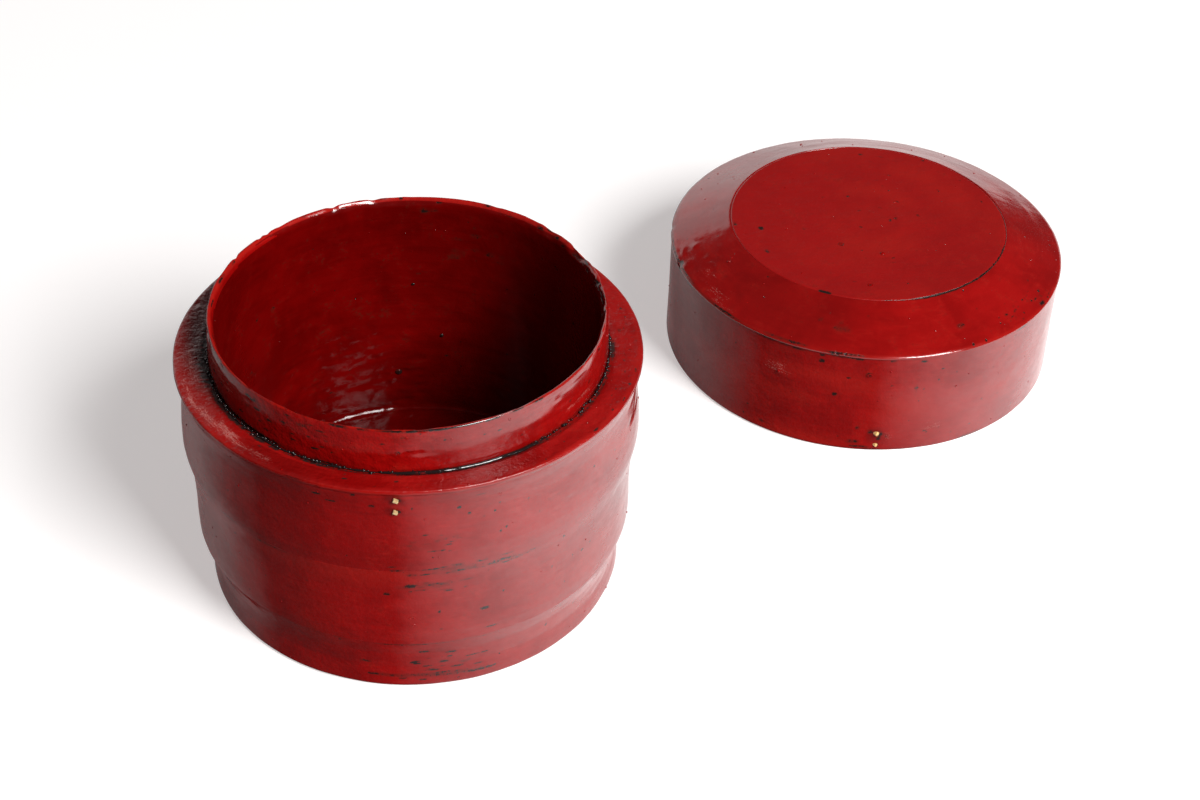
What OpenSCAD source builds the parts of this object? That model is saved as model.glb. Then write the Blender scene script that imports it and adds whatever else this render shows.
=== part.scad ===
// Round lacquered box for seal paste, shown open: the box stands at the origin
// and its lid lies beside it, rim down, on the same surface.
// The wall is three stacked wooden hoops round a thin sleeve. The sleeve stands
// on the base board and rises past the hoops as the collar that holds the lid.
// Two pegs in the hoop and two in the lid face -Y and show how the lid goes on.

/* [Box] */
// Radius of the ledge that the lid rests on
ledge_r = 59; // [50:0.5:80]
// Height of the ledge above the table
wall_h = 69; // [56:0.5:90]
// Width of the ledge, from its edge in to the collar
ledge_w = 8.4; // [7:0.1:12]
// Height of the collar above the ledge
collar_h = 12; // [6:0.5:16]
// Thickness of the sleeve, which is the collar's wall
sleeve_t = 1.6; // [1.2:0.1:3]
// Thickness of the base board
base_t = 9; // [4:0.5:14]

/* [Hoops] */
// Height of the lower hoop
lower_h = 16.5; // [10:0.5:20]
// Height of the middle hoop
middle_h = 25.5; // [16:0.5:31]
// How far the box's foot is drawn in from the ledge's radius
foot_in = 4.4; // [1:0.1:5.5]
// How far the lower hoop is drawn in at half its height
lower_waist_in = 4.9; // [1:0.1:5.5]
// How far the lower hoop's top edge is drawn in
lower_top_in = 2.7; // [0.5:0.1:5]
// How far the middle hoop's bottom edge is drawn in
middle_bottom_in = 2.1; // [0.5:0.1:5]
// How far the middle hoop is drawn in at half its height
middle_waist_in = 1.9; // [0.5:0.1:5]
// How far the middle hoop's top edge is drawn in
middle_top_in = 1.2; // [0.4:0.1:4]
// How far the upper hoop's bottom edge is drawn in
upper_bottom_in = 0.4; // [0:0.1:4]
// How far the upper hoop is drawn in at its waist
upper_waist_in = 1.3; // [0:0.1:4]
// How far the upper hoop's waist is below the ledge
upper_waist_drop = 8; // [4:0.5:11]

/* [Seam bead] */
// Width of the black bead in the corner between ledge and collar
bead_w = 1.6; // [1:0.1:3]
// Depth of the groove that holds the bead
bead_d = 1.2; // [0.6:0.1:2]

/* [Lid] */
// How far the lid's skirt stays inside the ledge's radius
lid_inset = 0.4; // [0:0.1:1.5]
// Height of the lid's skirt
skirt_h = 33.3; // [20:0.1:45]
// Height from the skirt's top to the lid's flat top
shoulder_h = 8.4; // [4:0.1:12]
// Width of the sloping shoulder, seen from above
shoulder_w = 17.4; // [12:0.1:22]
// How far the shoulder's edge stands out over the skirt
shoulder_lip = 0.2; // [0:0.05:0.4]
// Thickness of the lid's top where the shoulder holds the disc
top_t = 6; // [4:0.1:8]
// Thickness of the disc in the lid's top
disc_t = 4; // [2:0.1:5]
// Width of the rebate that the disc rests on
rebate_w = 2; // [1:0.1:4]
// Room between collar and skirt, on the radius
lid_play = 0.45; // [0.35:0.05:1]
// Size of the eased edge inside the skirt's mouth
lead_in = 1.2; // [0.5:0.1:2]

/* [Pegs] */
// Radius of the two pegs in the box
box_peg_r = 0.65; // [0.4:0.05:1]
// Length of the box's pegs
box_peg_len = 5.5; // [3:0.5:6]
// How far the upper peg is below the ledge
box_peg_upper_drop = 3.0; // [2:0.1:4]
// How far the lower peg is below the ledge
box_peg_lower_drop = 7.0; // [6.2:0.1:9]
// Radius of the upper peg in the lid
lid_peg_upper_r = 0.75; // [0.4:0.05:1]
// Radius of the lower peg in the lid
lid_peg_lower_r = 0.6; // [0.4:0.05:1]
// Height of the upper peg above the lid's rim
lid_peg_upper_z = 6.5; // [5.5:0.1:10]
// Height of the lower peg above the lid's rim
lid_peg_lower_z = 2.4; // [1.5:0.1:4]
// Length of the lid's pegs
lid_peg_len = 5.5; // [3:0.5:6]
// How far each peg stands out of the wood
peg_proud = 0.3; // [0.1:0.05:0.5]
// Room round the lid's upper peg, on the radius
peg_play = 0.05; // [0.02:0.01:0.1]

/* [Place of the open lid] */
// Gap between the rims of box and lid
park_gap = 47.4; // [10:0.1:120]
// Direction from the box to the lid, turned from +X towards +Y
park_angle = 37.5; // [0:0.5:60]

/* [Hidden] */

round_sides = 128;
peg_sides = 32;
edge_steps = 4;
// The film of lacquer that glues two pieces
glue_t = 0.05;
// Radius of the eased outer edges of hoops, skirt and shoulder
edge_r = 0.8;
// How far a cut runs on past the surface that it leaves
past = 1;

collar_r = ledge_r - ledge_w;
hoop_bore_r = collar_r + glue_t;
cavity_r = collar_r - sleeve_t;
middle_z = lower_h;
upper_z = lower_h + middle_h;
rim_z = wall_h + collar_h;

// Radius of the upper hoop's outside against height
upper_outline = [
    [upper_z, ledge_r - upper_bottom_in],
    [wall_h - upper_waist_drop, ledge_r - upper_waist_in],
    [wall_h - edge_r, ledge_r]
];

lid_r = ledge_r - lid_inset;
lid_bore_r = collar_r + lid_play;
lid_h = skirt_h + shoulder_h;
disc_r = lid_r - shoulder_w;
park_d = ledge_r + lid_r + park_gap;

// Points of an eased outer edge: corner is the sharp corner, and the edge turns
// from the angle start to the angle end
function eased_edge(corner, r, start, end) =
    let (middle = corner - r * [1, start + end > 0 ? 1 : -1])
    [for (i = [0:edge_steps])
        let (turn = start + (end - start) * i / edge_steps)
        middle + r * [cos(turn), sin(turn)]];

module turned(outline) {
    rotate_extrude($fn = round_sides) polygon(outline);
}

// A peg along +Y from its rounded end, which is centred on the origin
module peg(r, len) {
    sphere(r = r, $fn = peg_sides);
    rotate([-90, 0, 0]) cylinder(r = r, h = len, $fn = peg_sides);
}

// A blind hole for a peg, open towards -Y
module peg_hole(r, len) {
    translate([0, -past, 0])
        rotate([-90, 0, 0]) cylinder(r = r, h = len + past, $fn = peg_sides);
}

// Puts a box peg, or its hole, at its height in the upper hoop's front
module at_box_peg(drop, r) {
    z = wall_h - drop;
    translate([0, -(lookup(z, upper_outline) + peg_proud - r), z]) children();
}

// Puts a lid peg, or its hole, in the skirt's front. The pegs lean away from the
// radius, square to the line from the box to the parked lid
module at_lid_peg(z, r) {
    translate([0, -(lid_r + peg_proud - r), z])
        rotate([0, 0, park_angle]) children();
}

module at_park() {
    translate([park_d * cos(park_angle), park_d * sin(park_angle), 0]) children();
}

module base_board() {
    color("firebrick") cylinder(r = collar_r, h = base_t, $fn = round_sides);
}

module sleeve() {
    color("darkred") turned(concat(
        [[cavity_r, base_t + glue_t], [collar_r, base_t + glue_t]],
        eased_edge([collar_r, rim_z], sleeve_t / 2, 0, 90),
        [for (i = [1:edge_steps])
            let (turn = 90 + 90 * i / edge_steps)
            [collar_r - sleeve_t / 2, rim_z - sleeve_t / 2]
                + sleeve_t / 2 * [cos(turn), sin(turn)]]
    ));
}

module lower_hoop() {
    color("firebrick") turned(concat(
        [[hoop_bore_r, 0]],
        eased_edge([ledge_r - foot_in, 0], edge_r, -90, 0),
        [
            [ledge_r - lower_waist_in, lower_h / 2],
            [ledge_r - lower_top_in, lower_h],
            [hoop_bore_r, lower_h]
        ]
    ));
}

module middle_hoop() {
    color("brown") turned([
        [hoop_bore_r, middle_z + glue_t],
        [ledge_r - middle_bottom_in, middle_z + glue_t],
        [ledge_r - middle_waist_in, middle_z + middle_h / 2],
        [ledge_r - middle_top_in, upper_z],
        [hoop_bore_r, upper_z]
    ]);
}

module upper_hoop() {
    color("firebrick") difference() {
        turned(concat(
            [
                [hoop_bore_r, upper_z + glue_t],
                [ledge_r - upper_bottom_in, upper_z + glue_t],
                [ledge_r - upper_waist_in, wall_h - upper_waist_drop]
            ],
            eased_edge([ledge_r, wall_h], edge_r, 0, 90),
            [
                [hoop_bore_r + bead_w, wall_h],
                [hoop_bore_r + bead_w, wall_h - bead_d],
                [hoop_bore_r, wall_h - bead_d]
            ]
        ));
        at_box_peg(box_peg_upper_drop, box_peg_r) peg_hole(box_peg_r, box_peg_len);
        at_box_peg(box_peg_lower_drop, box_peg_r) peg_hole(box_peg_r, box_peg_len);
    }
}

module seam_bead() {
    color("black") turned([
        [hoop_bore_r, wall_h - bead_d],
        [hoop_bore_r + bead_w, wall_h - bead_d],
        [hoop_bore_r + bead_w, wall_h - glue_t],
        [hoop_bore_r, wall_h - glue_t]
    ]);
}

module box_peg_upper() {
    color("gold") at_box_peg(box_peg_upper_drop, box_peg_r) peg(box_peg_r, box_peg_len);
}

module box_peg_lower() {
    color("gold") at_box_peg(box_peg_lower_drop, box_peg_r) peg(box_peg_r, box_peg_len);
}

module lid_skirt() {
    color("firebrick") at_park() difference() {
        turned(concat(
            [[lid_bore_r + lead_in, 0]],
            eased_edge([lid_r, 0], edge_r, -90, 0),
            [
                [lid_r, skirt_h],
                [lid_bore_r, skirt_h],
                [lid_bore_r, lead_in]
            ]
        ));
        at_lid_peg(lid_peg_upper_z, lid_peg_upper_r)
            peg_hole(lid_peg_upper_r + peg_play, lid_peg_len + peg_play);
        at_lid_peg(lid_peg_lower_z, lid_peg_lower_r)
            peg_hole(lid_peg_lower_r, lid_peg_len);
    }
}

module lid_shoulder() {
    color("brown") at_park() turned([
        [lid_bore_r, skirt_h + glue_t],
        [lid_r + shoulder_lip, skirt_h + glue_t],
        [lid_r + shoulder_lip, skirt_h + glue_t + edge_r],
        [disc_r, lid_h],
        [disc_r, lid_h - disc_t],
        [disc_r - rebate_w, lid_h - disc_t],
        [disc_r - rebate_w, lid_h - top_t]
    ]);
}

module lid_disc() {
    color("firebrick") at_park()
        translate([0, 0, lid_h - disc_t + glue_t])
            cylinder(r = disc_r - glue_t, h = disc_t - glue_t, $fn = round_sides);
}

module lid_peg_upper() {
    color("gold") at_park() at_lid_peg(lid_peg_upper_z, lid_peg_upper_r)
        peg(lid_peg_upper_r, lid_peg_len);
}

module lid_peg_lower() {
    color("gold") at_park() at_lid_peg(lid_peg_lower_z, lid_peg_lower_r)
        peg(lid_peg_lower_r, lid_peg_len);
}

base_board();
lower_hoop();
middle_hoop();
upper_hoop();
sleeve();
seam_bead();
box_peg_upper();
box_peg_lower();
lid_skirt();
lid_shoulder();
lid_disc();
lid_peg_upper();
lid_peg_lower();
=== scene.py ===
import math

import bmesh
import bpy
import numpy as np
from mathutils import Matrix, Vector


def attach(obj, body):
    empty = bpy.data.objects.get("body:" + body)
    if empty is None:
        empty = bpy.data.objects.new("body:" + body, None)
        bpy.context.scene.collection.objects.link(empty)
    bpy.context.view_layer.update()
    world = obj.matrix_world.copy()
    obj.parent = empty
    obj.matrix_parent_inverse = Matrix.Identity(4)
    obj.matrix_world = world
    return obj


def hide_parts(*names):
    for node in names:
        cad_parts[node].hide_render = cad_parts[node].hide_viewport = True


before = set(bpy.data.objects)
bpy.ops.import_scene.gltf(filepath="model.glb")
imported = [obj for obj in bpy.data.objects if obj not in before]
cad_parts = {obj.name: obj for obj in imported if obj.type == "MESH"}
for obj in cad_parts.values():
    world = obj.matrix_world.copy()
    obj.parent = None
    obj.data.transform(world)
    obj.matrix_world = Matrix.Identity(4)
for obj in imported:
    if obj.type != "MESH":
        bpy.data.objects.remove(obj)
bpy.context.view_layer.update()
print("frame loaded:", len(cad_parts), "nodes")

# Lengths below are in millimetres, angles in degrees. An angle round the box or
# the lid starts at the front, where the pegs are, and grows towards +X.
mm = 0.001
lidAxis = (130.903, 100.446)
boxAxis = (0.0, 0.0)


# Camera: the photograph's tilt, roll and lens.
camera = dict(place=(34.2, -445.0, 403.12), heading=1.9, down=38.33, roll=1.83, lens=65.42,
              sensor=36, near=0.01, far=30)


def makeCamera(size):
    heading = math.radians(size["heading"])
    down = math.radians(size["down"])
    roll = math.radians(size["roll"])
    ahead = Vector((math.sin(heading) * math.cos(down), math.cos(heading) * math.cos(down),
                    -math.sin(down)))
    level = Vector((math.cos(heading), -math.sin(heading), 0))
    upright = level.cross(ahead)
    right = math.cos(roll) * level + math.sin(roll) * upright
    up = math.cos(roll) * upright - math.sin(roll) * level
    data = bpy.data.cameras.new("camera")
    data.lens = size["lens"]
    data.sensor_width = size["sensor"]
    data.sensor_fit = "HORIZONTAL"
    data.clip_start = size["near"]
    data.clip_end = size["far"]
    seen = bpy.data.objects.new("camera", data)
    bpy.context.scene.collection.objects.link(seen)
    place = Vector(size["place"]) * mm
    seen.matrix_world = Matrix.Translation(place) @ Matrix((right, up, -ahead)).transposed().to_4x4()
    bpy.context.scene.camera = seen


makeCamera(camera)
bpy.context.scene.view_settings.view_transform = "Standard"


# A value in a node tree that takes part in Python sums: each operator adds its Math node.
class Val:
    def __init__(self, net, socket):
        self.net = net
        self.socket = socket

    def atMost(self, other):
        return self.net.sum("MINIMUM", self, other)

    def atLeast(self, other):
        return self.net.sum("MAXIMUM", self, other)

    def step(self, low, high):
        # 0 below low, 1 above high, smooth between
        return self.net.add("ShaderNodeMapRange", {"interpolation_type": "SMOOTHSTEP"},
                            {"Value": self, "From Min": low, "From Max": high})[0]


def operator(operation, reflected=False):
    def node(a, b):
        return a.net.sum(operation, b, a) if reflected else a.net.sum(operation, a, b)
    return node


for sign, operation in (("add", "ADD"), ("sub", "SUBTRACT"), ("mul", "MULTIPLY"), ("truediv", "DIVIDE")):
    setattr(Val, "__" + sign + "__", operator(operation))
    setattr(Val, "__r" + sign + "__", operator(operation, reflected=True))
Val.__gt__ = operator("GREATER_THAN")
Val.__lt__ = operator("LESS_THAN")


class Net:
    def __init__(self, tree):
        self.tree = tree
        tree.nodes.clear()

    def put(self, socket, value):
        if isinstance(value, Val):
            self.tree.links.new(value.socket, socket)
        elif hasattr(socket, "default_value"):
            if isinstance(value, tuple) and socket.type == "RGBA" and len(value) == 3:
                value = (*value, 1.0)
            socket.default_value = value

    # Any node: its type, its settings, then the values or links of its sockets.
    def add(self, kind, settings=None, sockets=None):
        node = self.tree.nodes.new(kind)
        for name, value in (settings or {}).items():
            setattr(node, name, value)
        for name, value in (sockets or {}).items():
            self.put(node.inputs[name], value)
        return Outs(self, node)

    def sum(self, operation, a, b):
        return self.add("ShaderNodeMath", {"operation": operation}, {0: a, 1: b})[0]

    def function(self, operation, a):
        return self.add("ShaderNodeMath", {"operation": operation}, {0: a})[0]

    def vector(self, operation, a, b, other=1):
        return self.add("ShaderNodeVectorMath", {"operation": operation}, {0: a, other: b})[0]

    # A Geometry Nodes node by its short name, which gives its first output.
    def make(self, kind, sockets=None, settings=None):
        return self.add("GeometryNode" + kind, settings, sockets)[0]

    def joined(self, *parts):
        both = self.add("GeometryNodeJoinGeometry")
        for part in parts:
            self.tree.links.new(part.socket, both.node.inputs[0])
        return both[0]

    def painted(self, layer):
        return self.add("ShaderNodeAttribute", {"attribute_name": layer})["Fac"]

    def join(self, x, y, z):
        return self.add("ShaderNodeCombineXYZ", {}, {"X": x, "Y": y, "Z": z})[0]

    def split(self, value):
        parts = self.add("ShaderNodeSeparateXYZ", {}, {"Vector": value})
        return parts[0], parts[1], parts[2]

    def colour(self, share, a, b, blend="MIX"):
        return self.add("ShaderNodeMix", {"data_type": "RGBA", "blend_type": blend},
                        {0: share, 6: a, 7: b})[2]

    def noise(self, where, scale, detail=2.0, roughness=0.5, bend=0.0):
        return self.add("ShaderNodeTexNoise", {},
                        {"Vector": where, "Scale": scale, "Detail": detail,
                         "Roughness": roughness, "Distortion": bend})[0]


class Outs:
    def __init__(self, net, node):
        self.net = net
        self.node = node

    def __getitem__(self, name):
        return Val(self.net, self.node.outputs[name])


# An empty material, with the place on the piece to start from.
def openMaterial(name):
    made = bpy.data.materials.new(name)
    made.use_nodes = True
    net = Net(made.node_tree)
    return made, net, net.add("ShaderNodeTexCoord")["Object"]


def closeMaterial(net, height, strength, sockets):
    bump = net.add("ShaderNodeBump", {}, {"Strength": strength, "Distance": mm, "Height": height})["Normal"]
    shader = net.add("ShaderNodeBsdfPrincipled", {}, dict(sockets, Normal=bump))
    net.add("ShaderNodeOutputMaterial", {}, {"Surface": shader["BSDF"]})


# Materials. Lacquer is brushed on by hand: streaks round the piece, soft orange peel, dust
# nibs, pits that show the black ground coat, and worn places where the red is thin. Some darker, paler
# and glossier places are painted shade, painted glints, painted edge highlights and painted reflection.
redLook = dict(
    red=(0.285, 0.0026, 0.0024),
    deepRed=(0.205, 0.0012, 0.0012),
    warmRed=(0.37, 0.010, 0.006),
    ground=(0.016, 0.006, 0.005),
    brown=(0.075, 0.008, 0.005),
    scuff=(0.52, 0.22, 0.19),
    roughness=0.20,
    index=1.45,
    varnish=0.0,
    varnishRoughness=0.15,
    peelSize=3.4,
    peelDepth=0.18,
    crumbDepth=0.18,
    brushPitch=1.3,
    brushDepth=0.014,
    grainDepth=0.010,
    speckSize=0.27,
    speckShare=0.09,
    mottled=0.26,
    radial=False,
    cloudSize=22,
    mottleSize=6,
    crumbSize=1.5,
    gritSize=0.9,
    scratchSize=0.4,
    cellSize=2.6,
    coatIndex=1.78,
    coatLeast=0.05,
)


def redLacquer(name, centre, flat=False, **changes):
    look = dict(redLook, **changes)
    made, net, place = openMaterial(name)
    place = net.vector("SUBTRACT", place, (centre[0] * mm, centre[1] * mm, 0))
    x, y, z = net.split(place)
    radius = net.function("SQRT", x * x + y * y)
    # brush strokes run round the piece, so they vary fast along height and radius
    if flat:
        strokes = net.join(x * 0.35 + y * 0.1, y * 2.2 - x * 0.5, z)
    else:
        strokes = net.join(x * 0.22, y * 0.22, (z + radius) * 2.0)
    streak = net.noise(strokes, 0.5 / (look["brushPitch"] * mm), 3.0, 0.5, 0.3)
    fine = net.noise(strokes, 1.8 / (look["brushPitch"] * mm), 3.0, 0.6)
    cloud = net.noise(place, 1 / (look["cloudSize"] * mm), 4.0, 0.6, 0.6)
    mottle = net.noise(place, 1 / (look["mottleSize"] * mm), 5.0, 0.65, 0.5)
    grit = net.noise(place, 1 / (look["gritSize"] * mm), 3.0, 0.7)
    crumb = net.noise(place, 1 / (look["crumbSize"] * mm), 3.0, 0.6)
    wear = streak
    if look["radial"]:
        fan = net.join(x / radius * 0.05, y / radius * 0.05, radius * 0.12)
        wear = net.noise(fan, 1 / (0.8 * mm), 3.0, 0.6)

    worn, scuffs_and_glints, thin, deep_tone_and_shade = (net.painted(layer) for layer in ("worn", "scuffs_and_glints", "thin", "deep_tone_and_shade"))

    # specks: some of the cells hold a pit down to the ground coat
    apart = net.vector("ADD", place, (0.031, 0.017, 0.0))
    cells = net.add("ShaderNodeTexVoronoi", {}, {"Vector": apart, "Scale": 1 / (look["cellSize"] * mm),
                                                 "Randomness": 1.0})
    cellRandom, cellSize, _ = net.split(cells["Color"])
    speckHere = cellRandom < look["speckShare"] * (0.35 + 1.3 * cloud)
    speckEdge = look["speckSize"] / look["cellSize"] * (0.35 + cellSize)
    speck = (1 - cells["Distance"].step(speckEdge * 0.55, speckEdge)) * speckHere

    gritty, streaky = (0.5, 1.7) if look["radial"] else (1.3, 1.1)
    wornMask = (worn + (grit - 0.5) * gritty + (wear - 0.5) * streaky).step(0.50, 0.72) * (worn > 0.02)
    brownMask = (worn + (mottle - 0.5) * 0.8 + (wear - 0.5) * 0.8).step(0.16, 0.70)
    brownMask = brownMask * worn.step(0.02, 0.12)
    scratch = net.noise(place, 1 / (look["scratchSize"] * mm), 2.0, 0.7)
    scuffAndGlintMask = (scuffs_and_glints + (fine - 0.5) * 1.3 + (scratch - 0.5) * 1.5).step(0.40, 0.95) * (scuffs_and_glints > 0.02)

    patches = (cloud * 0.62 + streak * 0.2 + mottle * 0.18).step(0.36, 0.62)
    body = net.colour(patches, look["deepRed"], look["red"])
    body = net.colour((mottle * 0.7 + fine * 0.3).step(0.50, 0.72) * 0.45, body, look["warmRed"])
    body = net.colour((mottle * 0.55 + grit * 0.45).step(0.54, 0.66) * look["mottled"], body, look["brown"])
    # the thin layer lightens the red: thin lacquer, and on the ledge and shoulder edges also a painted edge
    # highlight
    body = net.colour(thin * 0.75, body, look["warmRed"])
    # the deep layer darkens the red: darker lacquer in places, and painted shade at the front left and
    # beside the pegs
    body = net.colour(deep_tone_and_shade * 0.75, body, tuple(part * 0.45 for part in look["deepRed"]))
    body = net.colour(brownMask * 0.62, body, look["brown"])
    # the scuffed layer turns the red pale: real scuffs, and on the ledge also painted glints
    body = net.colour(scuffAndGlintMask * 0.55, body, look["scuff"])
    body = net.colour((wornMask + speck).atMost(1.0), body, look["ground"])

    gloss = look["roughness"] + (mottle - 0.5) * 0.10 + (fine - 0.5) * 0.08
    gloss = (gloss + scuffAndGlintMask * 0.25 + wornMask * 0.06).atLeast(0.06)

    peel = net.noise(place, 1 / (look["peelSize"] * mm), 2.0, 0.45)
    height = (peel * look["peelDepth"] + crumb * look["crumbDepth"] + streak * look["brushDepth"]
              + fine * look["grainDepth"] + grit * 0.012 - speck * 0.08 - wornMask * 0.035)
    sockets = {"Base Color": body, "Roughness": gloss, "IOR": look["index"]}
    if look["varnish"]:
        # the varnish gloss is set by side, strong on the right and at the back and weak at the front left:
        # a painted reflection pattern that follows the light
        right = ((x * 0.883 - y * 0.469) / radius + (cloud - 0.5) * 0.2).step(0.34, 1.0)
        left = ((0 - x) / radius + (cloud - 0.5) * 0.2).step(0.50, 0.95) * 0.42
        back = ((y * 0.985 + x * 0.174) / radius).step(0.2, 0.7) * 0.48
        coat = right.atLeast(left).atLeast(back) * (1.0 - scuffAndGlintMask * 0.5)
        coat = coat * (0.62 + fine * 0.45 + crumb * 0.30)
        sockets.update({"Coat Weight": (coat * look["varnish"]).atLeast(look["coatLeast"]),
                        "Coat IOR": look["coatIndex"], "Coat Roughness": look["varnishRoughness"],
                        "Specular IOR Level": 0.0})
    closeMaterial(net, height, 1.0, sockets)
    return made


blackLook = dict(black=(0.010, 0.006, 0.006), red=(0.16, 0.004, 0.004), roughness=0.075, index=1.55,
                 lumpSize=1.1, lumpDepth=0.07, tintSize=3.5)


def blackLacquer(name, look):
    made, net, place = openMaterial(name)
    lumps = net.noise(place, 1 / (look["lumpSize"] * mm), 3.0, 0.6)
    tint = net.noise(place, 1 / (look["tintSize"] * mm), 3.0, 0.6)
    body = net.colour(tint.step(0.60, 0.70) * 0.7, look["black"], look["red"])
    gloss = look["roughness"] + (tint - 0.5) * 0.12
    closeMaterial(net, lumps * look["lumpDepth"], 1.0,
                  {"Base Color": body, "Roughness": gloss, "IOR": look["index"]})
    return made


pegLook = dict(pale=(0.80, 0.60, 0.33), dark=(0.32, 0.17, 0.06), ring=(0.05, 0.018, 0.008), roughness=0.34,
               metal=0.15, grainSize=0.30, grainDepth=0.03, stainSize=1.0)


def pegMaterial(name, **changes):
    look = dict(pegLook, **changes)
    made, net, place = openMaterial(name)
    x, y, z = net.split(place)
    grain = net.noise(net.join(x, y * 0.12, z), 1 / (look["grainSize"] * mm), 3.0, 0.6)
    stain = net.noise(place, 1 / (look["stainSize"] * mm), 3.0, 0.6)
    body = net.colour(grain.step(0.40, 0.70) * 0.6, look["pale"], look["dark"])
    body = net.colour(stain.step(0.62, 0.72) * 0.5, body, look["ring"])
    body = net.colour((net.painted("worn") + (stain - 0.5) * 0.5).step(0.4, 0.7), body, look["ring"])
    closeMaterial(net, grain * look["grainDepth"], 0.7,
                  {"Base Color": body, "Metallic": look["metal"],
                   "Roughness": look["roughness"] + (grain - 0.5) * 0.2})
    return made


# A Geometry Nodes tree, its inputs listed by kind.
def openTree(name, inputs):
    tree = bpy.data.node_groups.new(name, "GeometryNodeTree")
    for kind, names in inputs.items():
        for each in names:
            tree.interface.new_socket(each, in_out="INPUT", socket_type="NodeSocket" + kind)
    tree.interface.new_socket("Piece", in_out="OUTPUT", socket_type="NodeSocketGeometry")
    net = Net(tree)
    return net, net.add("NodeGroupInput")


# Every tree ends alike: one real mesh, smooth, in the piece's material.
def closeTree(net, geometry, material):
    whole = net.make("RealizeInstances", {"Geometry": geometry})
    smooth = net.make("SetShadeSmooth", {"Geometry": whole})
    done = net.make("SetMaterial", {"Geometry": smooth, "Material": material})
    net.add("NodeGroupOutput", {}, {"Piece": done})
    return net.tree


# Turned pieces. A profile of radius and height goes round its axis; the hand that made it
# shows as an oval outside, soft lumps and uneven edges.
def turnedTree():
    net, given = openTree("turnedPiece", {
        "Geometry": ["Profile"], "Int": ["Columns", "Closed"], "Vector": ["Centre"],
        "Material": ["Material"],
        "Float": ["Bore", "Outside", "Oval Foot", "Oval Top", "Height", "Crease Rise", "Lump Size",
                  "Lump Height", "Lump Lift", "Ripple Size", "Ripple Height", "Flat Foot", "Seed"]})
    count = net.make("AttributeDomainSize", {"Geometry": given["Profile"]})
    rows = count + given["Closed"]
    grid = net.make("MeshGrid", {"Vertices X": given["Columns"] + 1, "Vertices Y": rows})
    index = net.make("InputIndex")
    column = net.function("FLOOR", (index + 0.5) / rows)
    row = net.sum("FLOORED_MODULO", index - column * rows, count)
    place = net.make("InputPosition")
    point = net.make("SampleIndex", {"Geometry": given["Profile"], "Value": place, "Index": row},
                     {"data_type": "FLOAT_VECTOR", "domain": "POINT"})
    sharp, soft, height = net.split(point)
    angle = column / given["Columns"] * (2 * math.pi)
    sine = net.function("SINE", angle)
    cosine = net.function("COSINE", angle)
    # at the front the creases are filled with lacquer, so the wall follows its soft outline there
    filled = net.function("COSINE", angle - 0.2).step(0.35, 0.90)
    radius = sharp + (soft - sharp) * filled
    turned = net.join(radius * sine, radius * cosine * -1.0, height)

    outside = ((radius - given["Bore"]) / (given["Outside"] - given["Bore"])).atLeast(0.0).atMost(1.0)
    share = (height / given["Height"]).atLeast(0.0).atMost(1.0)
    side = net.function("COSINE", angle * 2.0) * -1.0
    oval = side * (given["Oval Foot"] + (given["Oval Top"] - given["Oval Foot"]) * share) * outside
    rise = given["Crease Rise"] * cosine * net.function("SINE", share * math.pi) * outside
    foot = (height / given["Flat Foot"]).atLeast(0.0).atMost(1.0)

    where = net.vector("ADD", turned, net.join(given["Seed"], 0.0, 0.0))
    lumps = net.add("ShaderNodeTexNoise", {}, {"Vector": where, "Scale": 1.0 / given["Lump Size"],
                                               "Detail": 2.0, "Roughness": 0.5})["Color"]
    swell, lift, _ = net.split(lumps)
    ripple = net.noise(where, 1.0 / given["Ripple Size"], 2.0, 0.5)
    outward = oval + (swell - 0.5) * given["Lump Height"] + (ripple - 0.5) * given["Ripple Height"]
    outward = outward * (radius / 0.004).atMost(1.0)
    upward = (rise + (lift - 0.5) * given["Lump Lift"] + (ripple - 0.5) * given["Ripple Height"]) * foot
    moved = net.join((radius + outward) * sine, (radius + outward) * cosine * -1.0, height + upward)
    moved = net.vector("ADD", moved, given["Centre"])
    shaped = net.make("SetPosition", {"Geometry": grid, "Position": moved})
    merged = net.make("MergeByDistance", {"Geometry": shaped, "Distance": 1e-6})
    return closeTree(net, merged, given["Material"])


# Runs a node tree on a start mesh and leaves the result as a plain mesh object.
def grown(name, tree, start, values):
    holder = bpy.data.objects.new(name + ".start", start)
    bpy.context.scene.collection.objects.link(holder)
    modifier = holder.modifiers.new("grow", "NODES")
    modifier.node_group = tree
    keys = {s.name: s.identifier for s in tree.interface.items_tree if s.in_out == "INPUT"}
    for key, value in values.items():
        modifier[keys[key]] = value
    bpy.context.view_layer.update()
    shown = holder.evaluated_get(bpy.context.evaluated_depsgraph_get())
    mesh = bpy.data.meshes.new_from_object(shown)
    holder.modifiers.clear()
    bpy.data.objects.remove(holder)
    mesh.name = name
    return placed(name, mesh, values["Material"])


def placed(name, mesh, material):
    made = bpy.data.objects.new(name, mesh)
    bpy.context.scene.collection.objects.link(made)
    tidy(made)
    mesh.materials.clear()
    mesh.materials.append(material)
    return made


# Closed meshes get their faces turned outward.
def tidy(piece):
    shape = bmesh.new()
    shape.from_mesh(piece.data)
    bmesh.ops.remove_doubles(shape, verts=shape.verts, dist=1e-7)
    bmesh.ops.dissolve_degenerate(shape, edges=shape.edges, dist=1e-8)
    bmesh.ops.recalc_face_normals(shape, faces=shape.faces)
    shape.to_mesh(piece.data)
    shape.free()
    for face in piece.data.polygons:
        face.use_smooth = True
    piece.data.set_sharp_from_angle(angle=math.radians(52))
    piece.data.update()


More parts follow.
